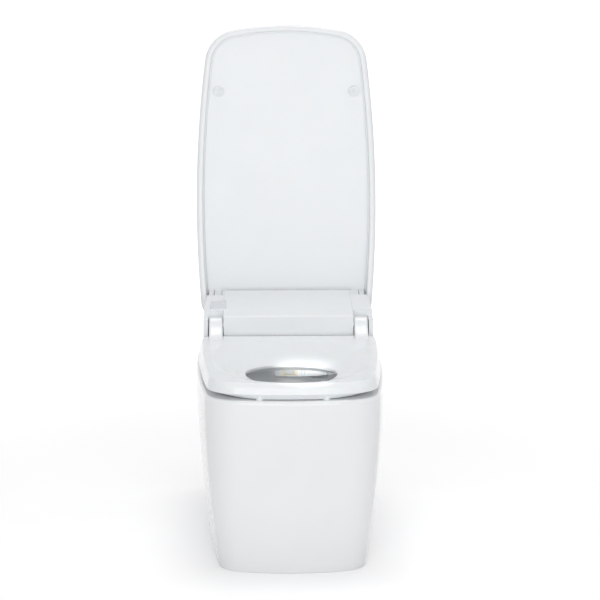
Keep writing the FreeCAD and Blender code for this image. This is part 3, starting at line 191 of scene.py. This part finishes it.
# %% [markdown]
# ## White glaze
#
# The pan is vitreous china under a thick, clear-looking white glaze. Its reflections are sharp
# but wander a little, because the glaze flowed while it was fired. Two ripples do that: one a few
# centimetres across, one like orange peel. A thin coat over a slightly duller body gives the
# depth that a single glossy layer lacks.

# %% The pan's glaze
GLAZE_WHITE = (0.836, 0.850, 0.860)


def white_glaze():
    material, shader = start_finish("white_glaze", GLAZE_WHITE, 0.12)
    colour_clouds(material, shader, GLAZE_WHITE, 0.12, -0.02)
    gloss_patches(material, shader, 0.03, 0.08, 0.16)
    wide = ripple(material, shader, 0.035, 0.00006, before=soft_edges(material, 0.002))
    ripple(material, shader, 0.0025, 0.000004, before=wide)
    shader.inputs["Coat Weight"].default_value = 0.35
    shader.inputs["Coat Roughness"].default_value = 0.03
    shader.inputs["IOR"].default_value = 1.52
    return material


print("glaze of colour", GLAZE_WHITE)

# %% [markdown]
# ## White plastics
#
# Lid and seat are glossy mouldings of a hard urea or PP resin, a shade cooler than the ceramic.
# The tray, the carrier of the nozzle and the caps are the same plastic with a satin skin. Light
# goes a little way into such plastic, so a small share of subsurface scattering softens the
# shaded edges.

# %% Gloss and satin white mouldings
PLASTIC_WHITE = (0.836, 0.854, 0.868)


def white_plastic(name, low, high, grain):
    """Moulded white plastic whose roughness runs from low to high."""
    material, shader = start_finish(name, PLASTIC_WHITE, high)
    colour_clouds(material, shader, PLASTIC_WHITE, 0.2, -0.015)
    gloss_patches(material, shader, 0.05, low, high)
    wide = ripple(material, shader, 0.06, 0.00003, before=soft_edges(material, 0.0012))
    ripple(material, shader, 0.0012, grain, before=wide)
    shader.inputs["Subsurface Weight"].default_value = 0.08
    shader.inputs["Subsurface Scale"].default_value = 0.004
    shader.inputs["IOR"].default_value = 1.49
    return material


print("white plastic of colour", PLASTIC_WHITE)

# %% [markdown]
# ## Smoked window, greys and beige
#
# The flush sensor looks out through a grey window in the left shoulder. It is clear plastic with
# a dark layer behind it, so it is glossy and cool. The wash nozzle is satin grey and slides in a
# beige guide: both are technical plastics with a fine moulded grain.

# %% Coloured plastics
def tinted_plastic(name, colour, low, high, grain=0.000008):
    material, shader = start_finish(name, colour, high)
    colour_clouds(material, shader, colour, 0.03, 0.06)
    gloss_patches(material, shader, 0.006, low, high)
    ripple(material, shader, 0.0008, grain, 3.0)
    return material


def smoked_window():
    colour = (0.68, 0.71, 0.73)
    material, shader = start_finish("sensor_grey", colour, 0.08)
    colour_clouds(material, shader, colour, 0.02, -0.05)
    gloss_patches(material, shader, 0.01, 0.05, 0.12)
    shader.inputs["Coat Weight"].default_value = 1.0
    shader.inputs["Coat Roughness"].default_value = 0.02
    return material


print("greys, beige and the smoked window ready")

# %% [markdown]
# ## Rubber
#
# The lid and the seat land on soft pads, and the pan stands on a black ring round the drain.
# Rubber is dull, slightly dusty and grainy. A broad sheen at grazing angles gives the soft edge
# that a plain rough surface lacks.

# %% Soft pads and the drain seal
def rubber(name, colour):
    material, shader = start_finish(name, colour, 0.6)
    colour_clouds(material, shader, colour, 0.01, 0.12)
    gloss_patches(material, shader, 0.003, 0.5, 0.75)
    ripple(material, shader, 0.0006, 0.00003, 4.0)
    shader.inputs["Sheen Weight"].default_value = 0.15
    shader.inputs["Sheen Roughness"].default_value = 0.5
    return material


print("rubber ready")

# %% [markdown]
# ## Metals
#
# Brackets, screws and hinge shafts are brushed stainless steel: fine scratches run one way, so
# the noise is stretched along that direction. The water inlet is plain brass with the duller,
# slightly brown patches of handled metal.

# %% Brushed steel and brass
SCRATCHES = 900.0                         # across each metre
SCRATCH_DEPTH = 0.00002
TARNISH_SIZE = 0.008


def metal(name, colour, low, high, along=(1.0, 1.0, 1.0), tarnish=0.0):
    """Metal whose scratches are stretched by along."""
    material, shader = start_finish(name, colour, high)
    shader.inputs["Metallic"].default_value = 1.0
    where = node(material, "ShaderNodeTexCoord")
    stretched = node(material, "ShaderNodeMapping", values={"Scale": along},
                     links={"Vector": where.outputs["Object"]})
    lines = node(material, "ShaderNodeTexNoise", values={"Scale": SCRATCHES, "Detail": 5.0},
                 links={"Vector": stretched.outputs["Vector"]})
    join(material, spread(material, lines.outputs["Fac"], low, high), shader.inputs["Roughness"])
    bump = node(material, "ShaderNodeBump", values={"Strength": 0.4, "Distance": SCRATCH_DEPTH},
                links={"Height": lines.outputs["Fac"]})
    join(material, bump.outputs["Normal"], shader.inputs["Normal"])
    colour_clouds(material, shader, colour, TARNISH_SIZE, -tarnish)
    return material


print("metals ready,", round(SCRATCHES), "scratches to the metre")

# %% [markdown]
# ## Circuit board and heating film
#
# Nobody sees these while the covers are on, but the model can be opened, so they are worth a
# few nodes. The board's copper lies under green lacquer as paler tracks, and the heating film
# carries a copper line that runs to and fro. Both are stripes: a wave texture makes the lines, and
# its distortion bends them.

# %% Tracks on the board and on the film
WAVE_SCALE = math.pi / 20.0               # the wave node's scale for a line every two metres
LINE_LEVEL = 0.7                          # the wave's height above which the line shows


def tracks(name, ground, line, size, low, high):
    """Ground colour with thin lines of another colour, twice size metres apart."""
    material, shader = start_finish(name, ground, high)
    where = node(material, "ShaderNodeTexCoord")
    wave = node(material, "ShaderNodeTexWave", {"wave_type": "BANDS", "bands_direction": "X"},
                values={"Scale": WAVE_SCALE / size, "Distortion": 3.0, "Detail": 1.0},
                links={"Vector": where.outputs["Object"]})
    edge = node(material, "ShaderNodeValToRGB", links={"Fac": wave.outputs["Fac"]})
    edge.color_ramp.interpolation = "CONSTANT"
    edge.color_ramp.elements[0].color = (*ground, 1.0)
    edge.color_ramp.elements[1].position = LINE_LEVEL
    edge.color_ramp.elements[1].color = (*line, 1.0)
    join(material, edge.outputs["Color"], shader.inputs["Base Color"])
    gloss_patches(material, shader, 0.004, low, high)
    return material


print("tracks ready")

# %% [markdown]
# ## Hand the finishes out
#
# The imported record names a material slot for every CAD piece. One table from slot to finish
# then dresses all of them, and a piece that changes its slot later changes its looks with it.

# %% One finish for each slot
finishes = {
    "white_glaze": white_glaze(),
    "white_shell": white_plastic("white_shell", 0.16, 0.26, 0.000002),
    "white_satin": white_plastic("white_satin", 0.38, 0.5, 0.000008),
    "sensor_grey": smoked_window(),
    "nozzle_grey": tinted_plastic("nozzle_grey", (0.55, 0.57, 0.58), 0.3, 0.42),
    "guide_beige": tinted_plastic("guide_beige", (0.75, 0.69, 0.54), 0.32, 0.45),
    "white_rubber": rubber("white_rubber", (0.76, 0.78, 0.79)),
    "black_rubber": rubber("black_rubber", (0.03, 0.03, 0.032)),
    "steel": metal("steel", (0.62, 0.62, 0.63), 0.22, 0.38, (1.0, 0.04, 1.0)),
    "brass": metal("brass", (0.72, 0.55, 0.26), 0.2, 0.4, tarnish=0.25),
    "board_green": tracks("board_green", (0.02, 0.13, 0.05), (0.07, 0.27, 0.12), 0.0015, 0.3, 0.5),
    "film_copper": tracks("film_copper", (0.62, 0.33, 0.12), (0.80, 0.50, 0.25), 0.004, 0.25, 0.4),
    "grey_plastic": tinted_plastic("grey_plastic", (0.16, 0.165, 0.175), 0.38, 0.52),
    "black_plastic": tinted_plastic("black_plastic", (0.018, 0.018, 0.02), 0.35, 0.5),
    "pale_plastic": tinted_plastic("pale_plastic", (0.62, 0.645, 0.65), 0.4, 0.55),
}
for part in frame["record"]["subparts"]:
    made = nodes[part["node"]]
    made.data.materials.clear()
    made.data.materials.append(finishes[part["material_slot"]])
print(len(finishes), "finishes on", len(nodes), "CAD pieces")

# %% [markdown]
# ## Smooth faces, crisp edges
#
# CAD meshes come with the normals of the true surfaces, so arcs look round although they are
# many flat facets. Nothing needs smoothing here; new pieces made below get smooth faces with an
# edge wherever two faces meet at more than a third of a right angle.

# %% Helpers for new pieces
CREASE = math.radians(30)
AROUND = 96                               # steps in a full turn; a multiple of six for the nut


def add_piece(name, shape, slot, body="toilet"):
    """Turns a bmesh into a piece with that slot's finish, riding on a body."""
    bmesh.ops.recalc_face_normals(shape, faces=shape.faces)
    mesh = bpy.data.meshes.new(name)
    shape.to_mesh(mesh)
    shape.free()
    mesh.shade_smooth()
    mesh.set_sharp_from_angle(angle=CREASE)
    piece = bpy.data.objects.new(name, mesh)
    bpy.context.scene.collection.objects.link(piece)
    mesh.materials.append(finishes[slot])
    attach(piece, body)
    return piece


def turned_ring(section, form):
    """A closed section of (radius, height) points turned once round Z. form changes a radius."""
    shape = bmesh.new()
    rings = []
    for i in range(AROUND):
        angle = 2 * math.pi * i / AROUND
        ring = []
        for radius, height in section:
            reach = form(radius, height, angle)
            ring.append(shape.verts.new((reach * math.cos(angle), reach * math.sin(angle), height)))
        rings.append(ring)
    for here, there in zip(rings, rings[1:] + rings[:1]):
        for i in range(len(section)):
            j = (i + 1) % len(section)
            shape.faces.new((here[i], there[i], there[j], here[j]))
    return shape


def facing(shape, place, axis):
    """Turns a bmesh made along +Z to point along axis, and moves its foot to place."""
    turn = Vector((0, 0, 1)).rotation_difference(Vector(axis)).to_matrix().to_4x4()
    bmesh.ops.transform(shape, matrix=Matrix.Translation(place) @ turn, verts=shape.verts)
    return shape


print("helpers for new pieces ready")

# %% [markdown]
# ## Thread of the water inlet
#
# A supply hose screws onto the brass spigot behind the unit. The CAD piece is a plain tube at
# the thread's outer size. A real G 1/2 thread climbs 1.81 mm each turn and its ridges catch the
# light, so the spigot is turned again here with a radius that rises and falls along the helix,
# and its round collar becomes a nut with six flats.

# %% Build the threaded inlet and its nut
PITCH = 0.00181
RIDGE = 0.0011
BORE = 0.006
PLAIN_END = 0.0006                        # over which the thread fades at both ends
NUT_THICK = 0.004
NUT_WALL = 0.004
NUT_GRIP = 0.0004                         # the nut's bore lies this deep in the spigot
NUT_CHAMFER = 0.0007
inlet_low, inlet_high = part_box("water_inlet")
INLET = Vector(((inlet_low.x + inlet_high.x) / 2, inlet_low.y, (inlet_low.z + inlet_high.z) / 2))
PANEL_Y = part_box("rear_panel")[1].y
INLET_LENGTH = inlet_high.y - inlet_low.y
NUT_RADIUS = (inlet_high.z - inlet_low.z) / 2
THREAD_RADIUS = NUT_RADIUS - NUT_WALL
FINE = PITCH / 8


def inlet_thread():
    """Spigot along Z from 0 to its mouth, threaded outside where it stands out of the nut."""
    start = PANEL_Y + NUT_THICK - INLET.y
    count = int((INLET_LENGTH - start) / FINE)
    section = [(BORE, 0.0), (THREAD_RADIUS, 0.0), (THREAD_RADIUS, start)]
    section += [(THREAD_RADIUS, start + FINE * (i + 1)) for i in range(count)]
    section += [(THREAD_RADIUS - RIDGE, INLET_LENGTH), (BORE, INLET_LENGTH)]

    def helix(radius, height, angle):
        if radius < THREAD_RADIUS or height <= start:
            return radius
        wave = (height / PITCH - angle / (2 * math.pi)) % 1.0
        fade = min(1.0, (height - start) / PLAIN_END, (INLET_LENGTH - height) / PLAIN_END)
        depth = RIDGE * abs(2 * wave - 1)
        return radius - depth * fade - RIDGE * 0.5 * (1 - fade)

    return turned_ring(section, helix)


def inlet_nut():
    """Six-sided nut against the rear panel, with its corners chamfered at both faces."""
    inner = THREAD_RADIUS - NUT_GRIP
    flat = NUT_RADIUS * math.cos(math.pi / 6)
    section = [(inner, 0.0), (flat, 0.0), (NUT_RADIUS, NUT_CHAMFER),
               (NUT_RADIUS, NUT_THICK - NUT_CHAMFER), (flat, NUT_THICK), (inner, NUT_THICK)]

    def six_flats(radius, height, angle):
        turn = angle % (math.pi / 3) - math.pi / 6
        return min(radius, flat / math.cos(turn))

    return turned_ring(section, six_flats)


nut_place = Vector((INLET.x, PANEL_Y, INLET.z))
thread = add_piece("inlet_thread", facing(inlet_thread(), INLET, (0, 1, 0)), "brass")
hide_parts("water_inlet")
add_piece("inlet_nut", facing(inlet_nut(), nut_place, (0, 1, 0)), "brass")
print("thread of radius", round(THREAD_RADIUS * 1000, 2), "mm and its nut")

# %% [markdown]
# ## Cord gland
#
# The cord itself isn't in the photograph and is left out, and only its gland is built. A moulded
# gland has a ring of flutes for the fingers and a soft lip that closes round the cord.

# %% Build the fluted gland
gland_low, gland_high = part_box("power_gland")
GLAND = Vector(((gland_low.x + gland_high.x) / 2, PANEL_Y, (gland_low.z + gland_high.z) / 2))
GLAND_RADIUS = (gland_high.z - gland_low.z) / 2
GLAND_REACH = gland_high.y - PANEL_Y
GLAND_BORE = 0.0036
FLUTES = 12
FLUTE_DEPTH = 0.0006
BODY_RADIUS = GLAND_RADIUS - 0.003


def gland_collar():
    """Tube through the panel, and a collar with finger flutes and a domed front."""
    inner_end = gland_low.y - PANEL_Y
    body = [(GLAND_BORE, inner_end), (BODY_RADIUS, inner_end), (BODY_RADIUS, 0.0)]
    shoulder = (GLAND_RADIUS, GLAND_REACH * 0.6)
    dome = (GLAND_RADIUS - 0.0012, GLAND_REACH * 0.88)
    face = (GLAND_RADIUS - 0.003, GLAND_REACH)
    lip = [(GLAND_BORE + 0.0012, GLAND_REACH), (GLAND_BORE, GLAND_REACH - 0.0008)]
    section = body + [(GLAND_RADIUS, 0.0), shoulder, dome, face] + lip

    def fluted(radius, height, angle):
        if radius < GLAND_RADIUS:
            return radius
        return radius - FLUTE_DEPTH * (0.5 - 0.5 * math.cos(FLUTES * angle))

    return turned_ring(section, fluted)


collar = add_piece("gland_collar", facing(gland_collar(), GLAND, (0, 1, 0)), "black_plastic")
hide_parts("power_gland")
print("gland with", FLUTES, "flutes")

# %% [markdown]
# ## Screws of the rear panel
#
# The panel behind the unit comes off for repair, so a screw holds each corner. The head is a
# shallow dome with a cross recess, which is cut with a tapered cross.

# %% Build the four screws
HEAD_RADIUS = 0.0042
HEAD_HEIGHT = 0.0018
CROSS_REACH = 0.0021
CROSS_WIDTH = 0.0009
CROSS_DEPTH = 0.0014
CROSS_CLEAR = 0.0004                      # the cutter stands this far out of the head
SCREW_INSET = 0.011
HEAD_STEPS = 32
DOME_STEPS = 6
DOME_EDGE = 0.25                          # share of the height that is a plain rim


def screw_head():
    """Domed head on Z, standing on its flat face."""
    shape = bmesh.new()

    def ring(radius, height):
        turns = [2 * math.pi * k / HEAD_STEPS for k in range(HEAD_STEPS)]
        return [shape.verts.new((radius * math.cos(a), radius * math.sin(a), height))
                for a in turns]

    foot = ring(HEAD_RADIUS, 0.0)
    last = foot
    for i in range(DOME_STEPS):
        turn = math.pi / 2 * i / DOME_STEPS
        rise = DOME_EDGE + (1 - DOME_EDGE) * math.sin(turn)
        made = ring(HEAD_RADIUS * math.cos(turn), HEAD_HEIGHT * rise)
        for k in range(HEAD_STEPS):
            j = (k + 1) % HEAD_STEPS
            shape.faces.new((last[k], last[j], made[j], made[k]))
        last = made
    top = shape.verts.new((0.0, 0.0, HEAD_HEIGHT))
    for k in range(HEAD_STEPS):
        shape.faces.new((last[k], last[(k + 1) % HEAD_STEPS], top))
    shape.faces.new(foot)
    return shape


def cross_cutter():
    """Two crossed wedges, narrower at the bottom of the recess."""
    shape = bmesh.new()
    top, low = HEAD_HEIGHT + CROSS_CLEAR, HEAD_HEIGHT - CROSS_DEPTH
    for along_x in (True, False):
        corners = []
        for height, share in ((low, 0.45), (top, 1.0)):
            for side_a, side_b in ((-1, -1), (1, -1), (1, 1), (-1, 1)):
                long = side_a * CROSS_REACH * share
                wide = side_b * CROSS_WIDTH / 2 * (0.7 if height == low else 1.0)
                corners.append((long, wide, height) if along_x else (wide, long, height))
        v = [shape.verts.new(c) for c in corners]
        for face in ((0, 1, 2, 3), (4, 5, 6, 7), (0, 1, 5, 4), (1, 2, 6, 5), (2, 3, 7, 6),
                     (3, 0, 4, 7)):
            shape.faces.new([v[i] for i in face])
    bmesh.ops.recalc_face_normals(shape, faces=shape.faces)
    return shape


def mesh_object(name, shape):
    mesh = bpy.data.meshes.new(name)
    shape.to_mesh(mesh)
    shape.free()
    made = bpy.data.objects.new(name, mesh)
    bpy.context.scene.collection.objects.link(made)
    return made


def recessed_head():
    """The screw head with its cross recess, as a bmesh."""
    head, cutter = mesh_object("head", screw_head()), mesh_object("cutter", cross_cutter())
    cut = head.modifiers.new("recess", "BOOLEAN")
    cut.object = cutter
    cut.operation = "DIFFERENCE"
    cut.solver = "EXACT"
    cut.use_self = True
    bpy.context.view_layer.update()
    done = bmesh.new()
    done.from_object(head, bpy.context.evaluated_depsgraph_get())
    for used in (head, cutter):
        bpy.data.objects.remove(used)
    return done


panel_low, panel_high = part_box("rear_panel")
rows = (panel_low.z + SCREW_INSET, panel_high.z - SCREW_INSET)
for i, x in enumerate((panel_low.x + SCREW_INSET, panel_high.x - SCREW_INSET)):
    for j, z in enumerate(rows):
        add_piece(f"panel_screw_{2 * i + j + 1}",
                  facing(recessed_head(), Vector((x, PANEL_Y, z)), (0, 1, 0)), "steel")
print("four screws on the rear panel")

# %% [markdown]
# ## Light and ground
#
# The photograph has a pure white ground and hardly any shadow, and the white toilet is only a
# little darker than it. That needs broad, even light from the front and above at a plain level, so
# that a white finish renders as it is written. The front softbox is large, because a small one
# would show as a bright patch on the glossy lid. Little light finds its way under the seat, so a
# thin beam goes in between the seat's front and rear and lights nozzle and flap. The ground turns
# white only for rays that come from the camera or from a mirror-like reflection, so it doesn't
# flood the toilet with light.

# %% Softboxes and a lamp for the bowl
SOFTBOXES = {
    "left_strip": {"place": (-2.2, -2.4, 1.5), "size": (0.4, 1.8), "power": 1.0},
    "right_strip": {"place": (2.4, -2.4, 1.5), "size": (0.4, 1.8), "power": 4.0},
    "front_softbox": {"place": (-0.3, -5.2, 1.35), "size": (4.6, 2.4), "power": 90.0},
    "top_softbox": {"place": (0.2, 0.5, 5.5), "size": (2.6, 2.6), "power": 92.0},
}
AIM = Vector((0.0, 0.0, 0.45))
BOWL_LAMP = Vector((-0.09, -4.2, 1.135))
BOWL_AIM = Vector((0.032, -0.036, 0.354)) # between nozzle and flap
BOWL_BEAM = (1.9, 0.19)                   # degrees across, and height over width
BOWL_POWER = 1300.0                       # a spot's power counts for the whole sphere
BEAM_BLEND = 0.5                          # share of the beam that fades towards its edge
LAMP_RADIUS = 0.02


def aim(lamp, target):
    lamp.rotation_euler = (target - lamp.location).to_track_quat("-Z", "Y").to_euler()
    bpy.context.scene.collection.objects.link(lamp)


for name, light in SOFTBOXES.items():
    data = bpy.data.lights.new(name, "AREA")
    data.shape = "RECTANGLE"
    data.size, data.size_y = light["size"]
    data.energy = light["power"]
    box = bpy.data.objects.new(name, data)
    box.location = light["place"]
    aim(box, AIM)

data = bpy.data.lights.new("bowl_lamp", "SPOT")
data.energy = BOWL_POWER
data.spot_size = math.radians(BOWL_BEAM[0])
data.spot_blend = BEAM_BLEND
data.shadow_soft_size = LAMP_RADIUS
lamp = bpy.data.objects.new("bowl_lamp", data)
lamp.location = BOWL_LAMP
lamp.scale = (1.0, BOWL_BEAM[1], 1.0)
aim(lamp, BOWL_AIM)
print(len(SOFTBOXES), "softboxes and the bowl lamp")

# %% The room's even light
ROOM_LIGHT = 0.5
ROOM_COLOUR = (0.985, 0.99, 1.0, 1.0)


def seen_directly(tree):
    """1 for rays from the camera, a mirror-like reflection or through clear material."""
    path = tree.nodes.new("ShaderNodeLightPath")
    total = path.outputs["Is Camera Ray"]
    for other in ("Is Glossy Ray", "Is Transmission Ray"):
        add = tree.nodes.new("ShaderNodeMath")
        add.operation = "MAXIMUM"
        tree.links.new(total, add.inputs[0])
        tree.links.new(path.outputs[other], add.inputs[1])
        total = add.outputs[0]
    return total


world = bpy.data.worlds.new("studio")
bpy.context.scene.world = world
world.use_nodes = True
tree = world.node_tree
room = tree.nodes["Background"]
room.inputs["Color"].default_value = ROOM_COLOUR
room.inputs["Strength"].default_value = ROOM_LIGHT
white = tree.nodes.new("ShaderNodeBackground")
white.inputs["Color"].default_value = (1.0, 1.0, 1.0, 1.0)
white.inputs["Strength"].default_value = 1.0
choose = tree.nodes.new("ShaderNodeMixShader")
tree.links.new(seen_directly(tree), choose.inputs["Fac"])
tree.links.new(room.outputs[0], choose.inputs[1])
tree.links.new(white.outputs[0], choose.inputs[2])
tree.links.new(choose.outputs[0], tree.nodes["World Output"].inputs["Surface"])
print("room light", ROOM_LIGHT, "and a white ground")

# %% A pale floor that keeps the shadow
FLOOR_HALF = 30.0
NEAR_LIFT = 0.25                          # what camera rays see on top of the lit floor
FAR_LIFT = 0.7
NEAR_BY = 0.7                             # metres from the toilet
FAR_AWAY = 3.0
FLOOR_GAP = 0.0002                        # below the toilet's foot, so that no faces coincide

shape = bmesh.new()
corners = [(-1, -1), (1, -1), (1, 1), (-1, 1)]
shape.faces.new([shape.verts.new((x * FLOOR_HALF, y * FLOOR_HALF, 0.0)) for x, y in corners])
mesh = bpy.data.meshes.new("studio_floor")
shape.to_mesh(mesh)
shape.free()
floor = bpy.data.objects.new("studio_floor", mesh)
bpy.context.scene.collection.objects.link(floor)
floor.location.z = min(0.0, cad_box[0].z) - FLOOR_GAP
floor_finish, floor_shader = start_finish("studio_floor", (0.85, 0.85, 0.85), 0.7)
lift = floor_shader.inputs["Emission Strength"]
floor_shader.inputs["Emission Color"].default_value = (1.0, 1.0, 1.0, 1.0)
where = node(floor_finish, "ShaderNodeNewGeometry")
away = node(floor_finish, "ShaderNodeVectorMath", {"operation": "LENGTH"},
            links={0: where.outputs["Position"]})
rise = node(floor_finish, "ShaderNodeMapRange", {"interpolation_type": "SMOOTHSTEP"},
            {"From Min": NEAR_BY, "From Max": FAR_AWAY, "To Min": NEAR_LIFT, "To Max": FAR_LIFT},
            {"Value": away.outputs["Value"]})
strength = node(floor_finish, "ShaderNodeMath", {"operation": "MULTIPLY"},
                links={0: seen_directly(floor_finish.node_tree), 1: rise.outputs["Result"]})
join(floor_finish, strength.outputs[0], lift)
mesh.materials.append(floor_finish)
print("floor at z", round(floor.location.z, 4))
